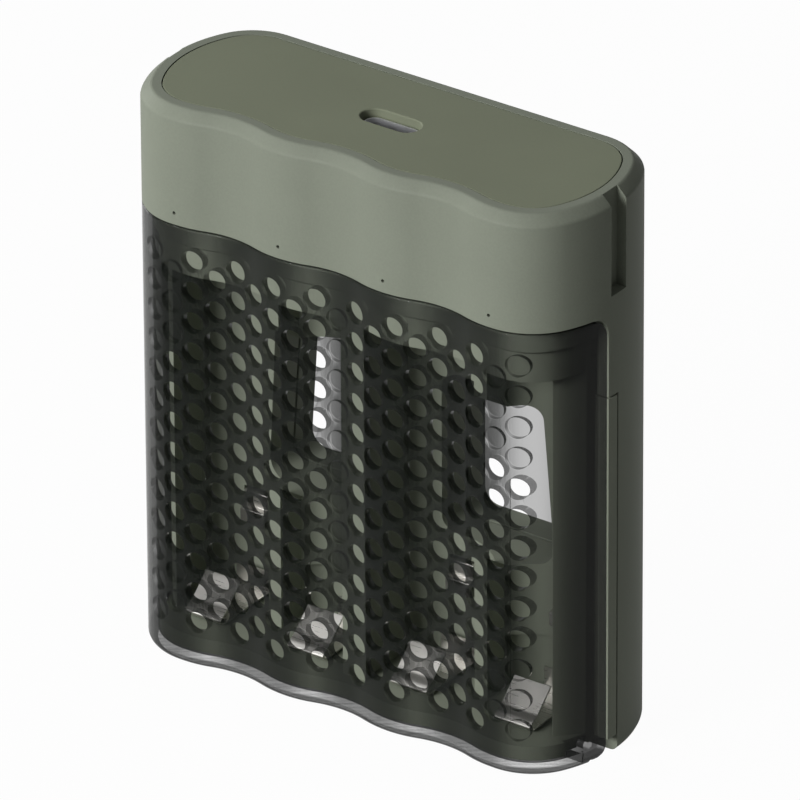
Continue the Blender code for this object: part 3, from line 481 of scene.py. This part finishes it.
plate = slab("top_plate_moulding", wave_plan(PLATE_INSET + CLEARANCE / 2),
             PLATE_SEAT + CLEARANCE / 2, HEIGHT)
bevel_where(plate, lambda place: place.z > HEIGHT - 0.1 * MM, 0.15 * MM, segments=2)
cut(plate, slab("port_collar", stadium(PORT_WIDTH + 2 * MM, PORT_HEIGHT + 2 * MM),
                PLATE_SEAT - 2.2 * MM, HEIGHT - BITE), operation="UNION")
opening = slab("port_opening", stadium(PORT_WIDTH, PORT_HEIGHT), 0, HEIGHT + MM)
cut(plate, opening)
bevel_where(plate, lambda place: place.z > HEIGHT - 0.01 * MM
            and abs(place.x) < PORT_WIDTH / 2 + 0.1 * MM
            and abs(place.y) < PORT_HEIGHT / 2 + 0.1 * MM, 0.25 * MM)
shade(plate)
olive_plate = moulded_abs("olive_abs_plate", "717664")
dress(plate, olive_plate, "olive_abs_plate", "charger", "top_plate")

# Battery tray: one ABS moulding behind the cells. Each slot has a round floor and ribs at its
# sides, the middle rib is taller and flanged, and two tunnels meet the housing's windows so
# that a finger can push the cells out. A slit in each floor lets the AAA contact through.
TRAY_INSET = HOUSING_WALL + CLEARANCE
TRAY_WALL = 1.8 * MM
TRAY_BOTTOM = 2.2 * MM
SLOT_BOTTOM = 4.0 * MM
SLOT_TOP = 62.0 * MM
ROOF_TOP = 63.8 * MM
SLOT_RADIUS = 10.3 * MM
SLOT_AXIS_Y = -5.6 * MM
SLOT_DEEPEST = SLOT_AXIS_Y + SLOT_RADIUS
TRAY_BACK = WINDOW_SEAM - CLEARANCE
RIB_FRONT = -4.0 * MM
RIB_WIDTH = 2.2 * MM
RIB_ROOT_Y = SLOT_AXIS_Y + math.sqrt(SLOT_RADIUS ** 2 - (CELL_PITCH / 2 - RIB_WIDTH / 2) ** 2)
RIB_GAP_RISE = 3.3 * MM
CENTRE_RIB_FRONT = -9.7 * MM
GUIDE_WIDTH = 4.0 * MM
CORE_HALF = 2 * CELL_PITCH - TRAY_WALL / 2
CELL_STEP = 0.8 * MM
SLOPE_START = 32.6 * MM
SLOPE_END = 36.5 * MM
SLOPE_FRONT = -7.9 * MM
SLOPE_BACK = -3.6 * MM
AAA_SLIT_Z = 19.3 * MM
HINGE_Y = -4.6 * MM
HINGE_Z = 2.6 * MM


def core_plan():
    """Flat in front, with one round back a slot."""
    outer = SLOT_RADIUS + TRAY_WALL
    strokes = []
    for index in reversed(range(len(SLOTS))):
        x = SLOTS[index]
        right = CORE_HALF - x if index == len(SLOTS) - 1 else CELL_PITCH / 2
        left = CORE_HALF + x if index == 0 else CELL_PITCH / 2
        first = math.acos(right / outer)
        last = math.pi - math.acos(left / outer)
        strokes.append((x + right, SLOT_AXIS_Y + outer * math.sin(first)))
        strokes.append(((x, SLOT_AXIS_Y), last - first, 24))
    strokes += [(-CORE_HALF, RIB_FRONT), (CORE_HALF, RIB_FRONT)]
    return (CORE_HALF, RIB_FRONT), strokes


def slot_plan(index, radius, inset=0.0):
    """One slot's hollow: a round floor, and straight sides that leave the ribs."""
    x = SLOTS[index]
    left = CELL_PITCH / 2 - (1.5 * MM if index == 2 else 1.1 * MM) - inset
    right = CELL_PITCH / 2 - (1.5 * MM if index == 1 else 1.1 * MM) - inset
    first = math.acos(right / radius)
    last = math.pi - math.acos(left / radius)
    front, waist, flange = -BACK - MM, CENTRE_RIB_FRONT + 1.2 * MM, 0.5 * MM
    strokes = [((x, SLOT_AXIS_Y), last - first, 40)]
    if index == 2:
        strokes += [(x - left, waist), (x - left + flange, waist), (x - left + flange, front)]
    else:
        strokes += [(x - left, front)]
    if index == 1:
        strokes += [(x + right - flange, front), (x + right - flange, waist), (x + right, waist)]
    else:
        strokes += [(x + right, front)]
    start = (x + right, SLOT_AXIS_Y + radius * math.sin(first))
    return start, strokes + [start]


tray = slab("battery_tray_moulding", wave_plan(TRAY_INSET), TRAY_BOTTOM, LIP_BOTTOM - CLEARANCE)
apron = slab("apron", wave_plan(1.7 * MM), 1.8 * MM, SLOT_BOTTOM + BITE)
cut(apron, box("apron_back", (-FAR, -8.0 * MM, -FAR), (FAR, FAR, FAR)))
cut(tray, apron, operation="UNION")
cut(tray,
    box("back_clip", (-FAR, TRAY_BACK, -FAR), (FAR, FAR, FAR)),
    slab("hollow", wave_plan(TRAY_INSET + TRAY_WALL), SLOT_BOTTOM, SLOT_TOP),
    box("front_clip", (-FAR, -FAR, SLOT_BOTTOM), (FAR, -7.6 * MM, SLOT_TOP)),
    slab("fascia_inside", wave_plan(TRAY_INSET + 1.6 * MM), ROOF_TOP, FAR),
    box("fascia_back", (-FAR, -3.0 * MM, ROOF_TOP), (FAR, FAR, FAR)))
core = slab("core", core_plan(), SLOT_BOTTOM - BITE, SLOT_TOP + BITE)
cut(core, box("centre_rib", (-GUIDE_WIDTH / 2, CENTRE_RIB_FRONT, SLOT_BOTTOM - BITE),
              (GUIDE_WIDTH / 2, RIB_FRONT + BITE, SLOT_TOP + BITE)),
    slab("tunnel_left", window_plan(-1, WINDOW_WALL), RIB_FRONT + BITE, TRAY_BACK - BITE / 2, "Y"),
    slab("tunnel_right", window_plan(1, WINDOW_WALL), RIB_FRONT + BITE, TRAY_BACK - BITE / 2, "Y"),
    operation="UNION")
for index in range(len(SLOTS)):
    cut(core, slab("slot", slot_plan(index, SLOT_RADIUS), 0, FAR),
        slab("cell_step", slot_plan(index, SLOT_RADIUS + CELL_STEP, 0.05 * MM), 0, 12.0 * MM))
cut(tray, core, operation="UNION")
for side in (-1, 1):
    slope_tip = (side * SLOPE_START, SLOPE_FRONT)
    cut(tray, slab("end_slope", (slope_tip, [
        (side * SLOPE_END, SLOPE_FRONT), (side * SLOPE_END, SLOPE_BACK), slope_tip]),
        SLOT_BOTTOM, SLOT_TOP))
    edge = slab("edge_strip", wave_plan(), HINGE_Z + CLEARANCE, SHOULDER_BOTTOM - CLEARANCE)
    cut(edge, slab("edge_inside", wave_plan(TRAY_INSET + TRAY_WALL / 2), -FAR, FAR),
        box("edge_rear", (-FAR, SEAM_Y - CLEARANCE, -FAR), (FAR, FAR, FAR)),
        box("edge_fore", (-FAR, -FAR, -FAR), (FAR, SHOULDER_Y, FAR)),
        box("edge_other", (min(0, -side * FAR), -FAR, -FAR), (max(0, -side * FAR), FAR, FAR)))
    cut(tray, edge, operation="UNION")
    cut(tray, slab("tray_window", window_plan(side), RIB_ROOT_Y - BITE / 2, FAR, "Y"))
    rib, front = side * CELL_PITCH, RIB_FRONT - BITE
    rise = RIB_GAP_RISE * (RIB_ROOT_Y - front) / (RIB_ROOT_Y - RIB_FRONT)
    cut(tray, slab("rib_gap", ((RIB_ROOT_Y, WINDOW_SILL), [
        (RIB_ROOT_Y, WINDOW_TOP), (front, WINDOW_TOP + rise), (front, WINDOW_SILL + rise),
        (RIB_ROOT_Y, WINDOW_SILL)]), rib - RIB_WIDTH, rib + RIB_WIDTH, "X"))
for x, z in SCREW_PLACES:
    post = rod("post", (x, SLOT_DEEPEST + BITE, z), (x, BACK - HOUSING_WALL - CLEARANCE, z), 2.5 * MM)
    cut(tray, post, operation="UNION")
    cut(tray, rod("pilot", (x, SLOT_DEEPEST + TRAY_WALL, z), (x, FAR, z), SCREW_BORE))
for x in SLOTS:
    cut(tray, box("slit", (x - 2.35 * MM, SLOT_DEEPEST - MM, AAA_SLIT_Z - 0.45 * MM),
                  (x + 2.35 * MM, SLOT_DEEPEST + TRAY_WALL + BITE, AAA_SLIT_Z + 0.45 * MM)))
cut(tray, rod("hinge_socket", (-FAR, HINGE_Y, HINGE_Z), (FAR, HINGE_Y, HINGE_Z), 1.1 * MM))
shade(tray)
# The tray's olive is painted a little lighter than the housing's. This is painted light, standing in for
# light that the shaded bays lack.
olive_tray_painted_light = moulded_abs("olive_abs_tray", "7A7F72", depth=0.015 * MM)
dress(tray, olive_tray_painted_light, "olive_abs_tray", "charger", "battery_tray")

# Contacts: strips of nickel-plated spring steel, blanked and bent, three in each slot. The AA
# contact lies along the slot's foot and folds back over itself, the AAA contact comes out of
# the slit as a small tongue, and the positive contact is dished under the slot's roof.
STRIP = 0.3 * MM


def bent_strip(name, path, width, x, turn_radius=0.5 * MM):
    """A strip that follows a path of (y, z) points, with its bends rounded."""
    deselect()
    bpy.ops.mesh.primitive_plane_add(size=MM, location=(0, 0, 0))
    piece = bpy.context.object
    piece.name = name
    bpy.ops.object.mode_set(mode="EDIT")
    bpy.ops.mesh.merge(type="CENTER")
    here = Vector((x - width / 2, *path[0]))
    bpy.ops.transform.translate(value=here)
    for place in path[1:]:
        there = Vector((x - width / 2, *place))
        bpy.ops.mesh.extrude_vertices_move(TRANSFORM_OT_translate={"value": there - here})
        here = there
    bpy.ops.mesh.select_all(action="SELECT")
    bpy.ops.mesh.extrude_edges_move(TRANSFORM_OT_translate={"value": (width, 0, 0)})
    deselect()
    apply_modifier(piece, "BEVEL", width=turn_radius, segments=5, limit_method="ANGLE",
                   angle_limit=math.radians(12))
    apply_modifier(piece, "SOLIDIFY", thickness=STRIP, offset=0.0)
    apply_modifier(piece, "BEVEL", width=0.05 * MM, segments=2, limit_method="ANGLE",
                   angle_limit=math.radians(60))
    shade(piece, 40)
    return piece


def nickel_strip():
    """Nickel plate over rolled spring steel: bright, with faint lines along the rolling
    direction, which lie across each contact."""
    material = bpy.data.materials.new("nickel_plated_spring_steel")
    material.use_nodes = True
    tree = material.node_tree
    shader = tree.nodes["Principled BSDF"]
    place = add_node(tree, "ShaderNodeTexCoord").outputs["Object"]
    stretched = add_node(tree, "ShaderNodeMapping", {"Vector": place, "Scale": (0.06, 1.0, 1.0)})
    lines = add_node(tree, "ShaderNodeTexNoise", {"Vector": stretched.outputs[0], "Scale": 1 / (0.25 * MM),
                                                  "Detail": 2.0})
    rough = add_node(tree, "ShaderNodeMapRange", {
        0: lines.outputs["Fac"], 1: 0.3, 2: 0.7, 3: 0.26, 4: 0.36})
    bump = add_node(tree, "ShaderNodeBump", {"Height": lines.outputs["Fac"], "Strength": 0.05,
                                             "Distance": 0.01 * MM})
    tree.links.new(rough.outputs[0], shader.inputs["Roughness"])
    tree.links.new(bump.outputs[0], shader.inputs["Normal"])
    shader.inputs["Base Color"].default_value = colour("CFCDC8")
    shader.inputs["Metallic"].default_value = 1.0
    return material


nickel = nickel_strip()
foot = SLOT_BOTTOM + CLEARANCE + STRIP / 2
high = SLOT_TOP - CLEARANCE - STRIP / 2
for index, x in enumerate(SLOTS, start=1):
    aa_strip = bent_strip(f"aa_strip_{index}", [
        (3.4 * MM, 7.5 * MM), (3.4 * MM, foot), (-8.5 * MM, foot), (-9.2 * MM, foot + 0.625 * MM),
        (-8.5 * MM, foot + 1.25 * MM), (-7.35 * MM, foot + 1.9 * MM), (-4.0 * MM, foot + 5.0 * MM)],
        6.2 * MM, x, 0.25 * MM)
    dress(aa_strip, nickel, "nickel_plated_strip", "charger", f"aa_contact_{index}")
    aaa_strip = bent_strip(f"aaa_strip_{index}", [
        (6.5 * MM, AAA_SLIT_Z), (4.1 * MM, AAA_SLIT_Z), (4.1 * MM, 16.9 * MM),
        (3.1 * MM, 16.75 * MM), (3.1 * MM, 14.6 * MM)], 4.1 * MM, x, 0.2 * MM)
    dress(aaa_strip, nickel, "nickel_plated_strip", "charger", f"aaa_contact_{index}")
    plus_strip = bent_strip(f"plus_strip_{index}", [
        (-6.4 * MM, high), (-4.8 * MM, 58.9 * MM), (0.6 * MM, 58.9 * MM), (2.2 * MM, high)], 7.0 * MM, x)
    dress(plus_strip, nickel, "nickel_plated_strip", "charger", f"plus_contact_{index}")

# Cover: one clear smoked polycarbonate moulding with a wavy front, an even wall and a closed
# foot, and a pin at each end that it turns on. Its front is full of round holes, bored straight
# back. Those near the corners and down the middle are blind, sunk from outside.
COVER_WALL = 1.4 * MM
COVER_TOP = HEAD_BOTTOM - CLEARANCE
COVER_EDGE_Y = -2.6 * MM
COVER_CORNER = 3.0 * MM
COVER_FLOOR = 1.5 * MM
KNUCKLE_FRONT = -5.5 * MM
HEEL_FRONT = -5.55 * MM
KNUCKLE_RADIUS = 2.0 * MM
HOLE_RADIUS = 1.675 * MM
HOLE_STEP_X = 3.47 * MM
HOLE_STEP_Z = 4.85 * MM
HOLE_BOTTOM = 7.4 * MM
HOLE_COLUMNS = 9
HOLE_ROWS = 13
DIMPLE_DEPTH = 0.7 * MM


def blind(column, row):
    """True for the holes that stop half way: down the middle, and towards the four corners."""
    if column == 0:
        return row > 2
    from_edge = HOLE_COLUMNS - abs(column)
    return from_edge < 2 and not 3 - from_edge <= row <= 8


def drills(name, places):
    """One mesh of round cutters through the cover's front, copied from a single rod."""
    first = rod(name, (0, -BACK - MM, 0), (0, 5 * MM - BACK, 0), HOLE_RADIUS, sides=28)
    copies = [first]
    for x, z in places:
        mesh = first.data.copy()
        mesh.transform(Matrix.Translation((x, 0, z)))
        copies.append(bpy.data.objects.new(name, mesh))
        bpy.context.scene.collection.objects.link(copies[-1])
    bpy.data.objects.remove(first, do_unlink=True)
    deselect()
    for copy in copies[1:]:
        copy.select_set(True)
    bpy.context.view_layer.objects.active = copies[1]
    bpy.ops.object.join()
    return copies[1]


def side_plan():
    """The cover from its end, in Y and Z: open behind, round at its hinge and its top corner."""
    start = math.asin((KNUCKLE_FRONT - HINGE_Y) / KNUCKLE_RADIUS)
    first = (HINGE_Y + KNUCKLE_RADIUS * math.sin(start), HINGE_Z - KNUCKLE_RADIUS * math.cos(start))
    return (-FAR, -FAR), [
        (first[0], -FAR), first, ((HINGE_Y, HINGE_Z), QUARTER - start, 14),
        (COVER_EDGE_Y, COVER_TOP - COVER_CORNER),
        ((COVER_EDGE_Y - COVER_CORNER, COVER_TOP - COVER_CORNER), QUARTER, 12),
        (-FAR, COVER_TOP), (-FAR, -FAR)]


cover = slab("smoked_cover", wave_plan(), 0, COVER_TOP)
bevel_where(cover, lambda place: place.z < 0.1 * MM, 1.4 * MM, segments=6)
bevel_where(cover, lambda place: place.z > COVER_TOP - 0.1 * MM, 0.25 * MM, segments=3)
inside = slab("cover_inside", wave_plan(COVER_WALL), COVER_FLOOR, COVER_TOP + MM)
bevel_where(inside, lambda place: place.z < 1.6 * MM, 0.25 * MM, segments=3)
cut(cover, inside)
cut(cover, slab("cover_profile", side_plan(), -FAR, FAR, "X"), operation="INTERSECT")
heel = slab("cover_heel", wave_plan(COVER_WALL), -MM, COVER_FLOOR + BITE)
cut(heel, box("cover_heel_front", (-FAR, -FAR, -FAR), (FAR, HEEL_FRONT, FAR)))
cut(cover, heel)
pin_reach = SIDE_X + math.sqrt((SIDE_RADIUS - COVER_WALL) ** 2 - HINGE_Y ** 2)
for side in (-1, 1):
    cut(cover, rod("pin", (side * (pin_reach - 2.2 * MM), HINGE_Y, HINGE_Z),
                   (side * (pin_reach + 0.7 * MM), HINGE_Y, HINGE_Z), 0.8 * MM, sides=24),
        operation="UNION")
holes = {True: [], False: []}
for column in range(-HOLE_COLUMNS, HOLE_COLUMNS + 1):
    short = (column + HOLE_COLUMNS) % 2
    for row in range(HOLE_ROWS - short):
        z = HOLE_BOTTOM + (row + short / 2) * HOLE_STEP_Z
        holes[blind(column, row)].append((column * HOLE_STEP_X, z))
dimples = drills("dimples", holes[True])
cut(dimples, slab("dimple_floor", wave_plan(DIMPLE_DEPTH), -MM, HEIGHT))
cut(cover, drills("vent_holes", holes[False]), dimples)
apply_modifier(cover, "BEVEL", width=0.1 * MM, segments=2, limit_method="ANGLE",
               angle_limit=math.radians(50), use_clamp_overlap=False)
shade(cover, 35)


def smoked_polycarbonate():
    """Clear polycarbonate with a grey-green smoke tint, moulded in a polished tool: glossy, seen
    through where it is square to the eye, and denser where the eye meets it aslant and in its
    thick foot."""
    material = bpy.data.materials.new("smoked_polycarbonate")
    material.use_nodes = True
    tree = material.node_tree
    shader = tree.nodes["Principled BSDF"]
    place = add_node(tree, "ShaderNodeTexCoord").outputs["Object"]
    flow = add_node(tree, "ShaderNodeTexNoise", {"Vector": place, "Scale": 1 / (9 * MM), "Detail": 2.0})
    bump = add_node(tree, "ShaderNodeBump", {"Height": flow.outputs["Fac"], "Strength": 0.06,
                                             "Distance": 0.05 * MM})
    aslant = add_node(tree, "ShaderNodeLayerWeight", {"Blend": 0.5}).outputs["Facing"]
    thick = add_node(tree, "ShaderNodeMapRange", {0: aslant, 1: 0.09, 2: 0.33, 3: 0.27, 4: 0.74},
                     interpolation_type="SMOOTHSTEP")
    height = add_node(tree, "ShaderNodeSeparateXYZ", {0: place}).outputs["Z"]
    base = add_node(tree, "ShaderNodeMapRange", {0: height, 1: 1.4 * MM, 2: 2.0 * MM, 3: 0.85, 4: 0.0})
    density = add_node(tree, "ShaderNodeMath", {0: thick.outputs[0], 1: base.outputs[0]},
                       operation="MAXIMUM")
    tree.links.new(bump.outputs[0], shader.inputs["Normal"])
    tree.links.new(density.outputs[0], shader.inputs["Alpha"])
    shader.inputs["Base Color"].default_value = colour("121512")
    shader.inputs["Roughness"].default_value = 0.08
    shader.inputs["Specular IOR Level"].default_value = 0.14
    return material


dress(cover, smoked_polycarbonate(), "smoked_polycarbonate", "cover", "cover")
# It casts no shadow, so the bays are lit as they are behind clear plastic.
cover.visible_shadow = False

# Port: a drawn and plated steel shell with a black contact tongue standing in it, soldered to
# the top edge of the circuit board, below the top plate's opening.
USB_TOP = HEIGHT - 1.2 * MM
USB_CENTRE = (0.0, 0.1 * MM)
shell = slab("port_shell", stadium(8.94 * MM, 3.2 * MM, USB_CENTRE), USB_TOP - 7.4 * MM, USB_TOP)
bevel_where(shell, lambda place: place.z > USB_TOP - 0.01 * MM, 0.1 * MM, segments=2)
cut(shell, slab("port_bore", stadium(8.34 * MM, 2.6 * MM, USB_CENTRE), USB_TOP - 7.1 * MM, FAR))
shade(shell)


def plain_finish(name, code, roughness, metallic=0.0, alpha=1.0, spread=0.04, size=1.5 * MM):
    """A plain finish with a faint unevenness in its gloss, such as plating or moulded resin."""
    material = bpy.data.materials.new(name)
    material.use_nodes = True
    tree = material.node_tree
    shader = tree.nodes["Principled BSDF"]
    place = add_node(tree, "ShaderNodeTexCoord").outputs["Object"]
    mottle = add_node(tree, "ShaderNodeTexNoise", {"Vector": place, "Scale": 1 / size, "Detail": 3.0})
    rough = add_node(tree, "ShaderNodeMapRange", {0: mottle.outputs["Fac"], 1: 0.3, 2: 0.7,
                                                  3: roughness - spread, 4: roughness + spread})
    tree.links.new(rough.outputs[0], shader.inputs["Roughness"])
    shader.inputs["Base Color"].default_value = colour(code)
    shader.inputs["Metallic"].default_value = metallic
    shader.inputs["Alpha"].default_value = alpha
    return material


def paint(finish, *names):
    """Gives kept CAD nodes their finish."""
    for name in names:
        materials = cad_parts[name].data.materials
        materials.clear()
        materials.append(finish)


steel = plain_finish("drawn_plated_steel", "D0D1D3", 0.5, metallic=1.0)
dress(shell, steel, "drawn_steel", "charger", "usb_shell")
black = plain_finish("black_moulded_resin", "1A1A1A", 0.45)
paint(black, "usb_tongue")

# Circuit board: green solder mask with a black chip, two black inductors and two steel cans,
# screwed inside the head. It is hidden, so the CAD shapes stay as they are.
paint(plain_finish("green_solder_mask", "1E5A38", 0.4), "main_board")
paint(black, "controller_chip", "power_inductor_left", "power_inductor_right")
paint(steel, "capacitor_left", "capacitor_right")

# Status lights: a resin chip and a clear acrylic rod behind each pinhole, inside the head.
resin = plain_finish("white_resin", "EFEDE0", 0.35)
acrylic = plain_finish("clear_acrylic", "E4E8E4", 0.12, alpha=0.5)
for index in range(1, len(SLOTS) + 1):
    paint(resin, f"status_led_{index}")
    paint(acrylic, f"light_pipe_{index}")

# Screws: zinc-plated self-tapping screws with slotted heads, four from behind through the
# housing and two that hold the board.
zinc = plain_finish("zinc_plate", "A6A9AB", 0.35, metallic=1.0)
for index, (x, z) in enumerate(SCREW_PLACES, start=1):
    face = BACK - 0.2 * MM
    screw = rod(f"housing_screw_{index}_zinc", (x, face - MM, z), (x, face, z), 1.9 * MM, sides=40)
    bevel_where(screw, lambda place: place.y > face - 0.01 * MM, 0.3 * MM, segments=3)
    shank = rod("shank", (x, face - 7 * MM, z), (x, face - 0.5 * MM, z), MM, sides=24)
    cut(screw, shank, operation="UNION")
    cut(screw, box("slot", (x - 3 * MM, face - 0.5 * MM, z - 0.35 * MM),
                   (x + 3 * MM, face + MM, z + 0.35 * MM)))
    shade(screw)
    dress(screw, zinc, "zinc_plated_screw", "charger", f"housing_screw_{index}")
paint(zinc, "board_screw_1", "board_screw_2")

low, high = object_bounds()
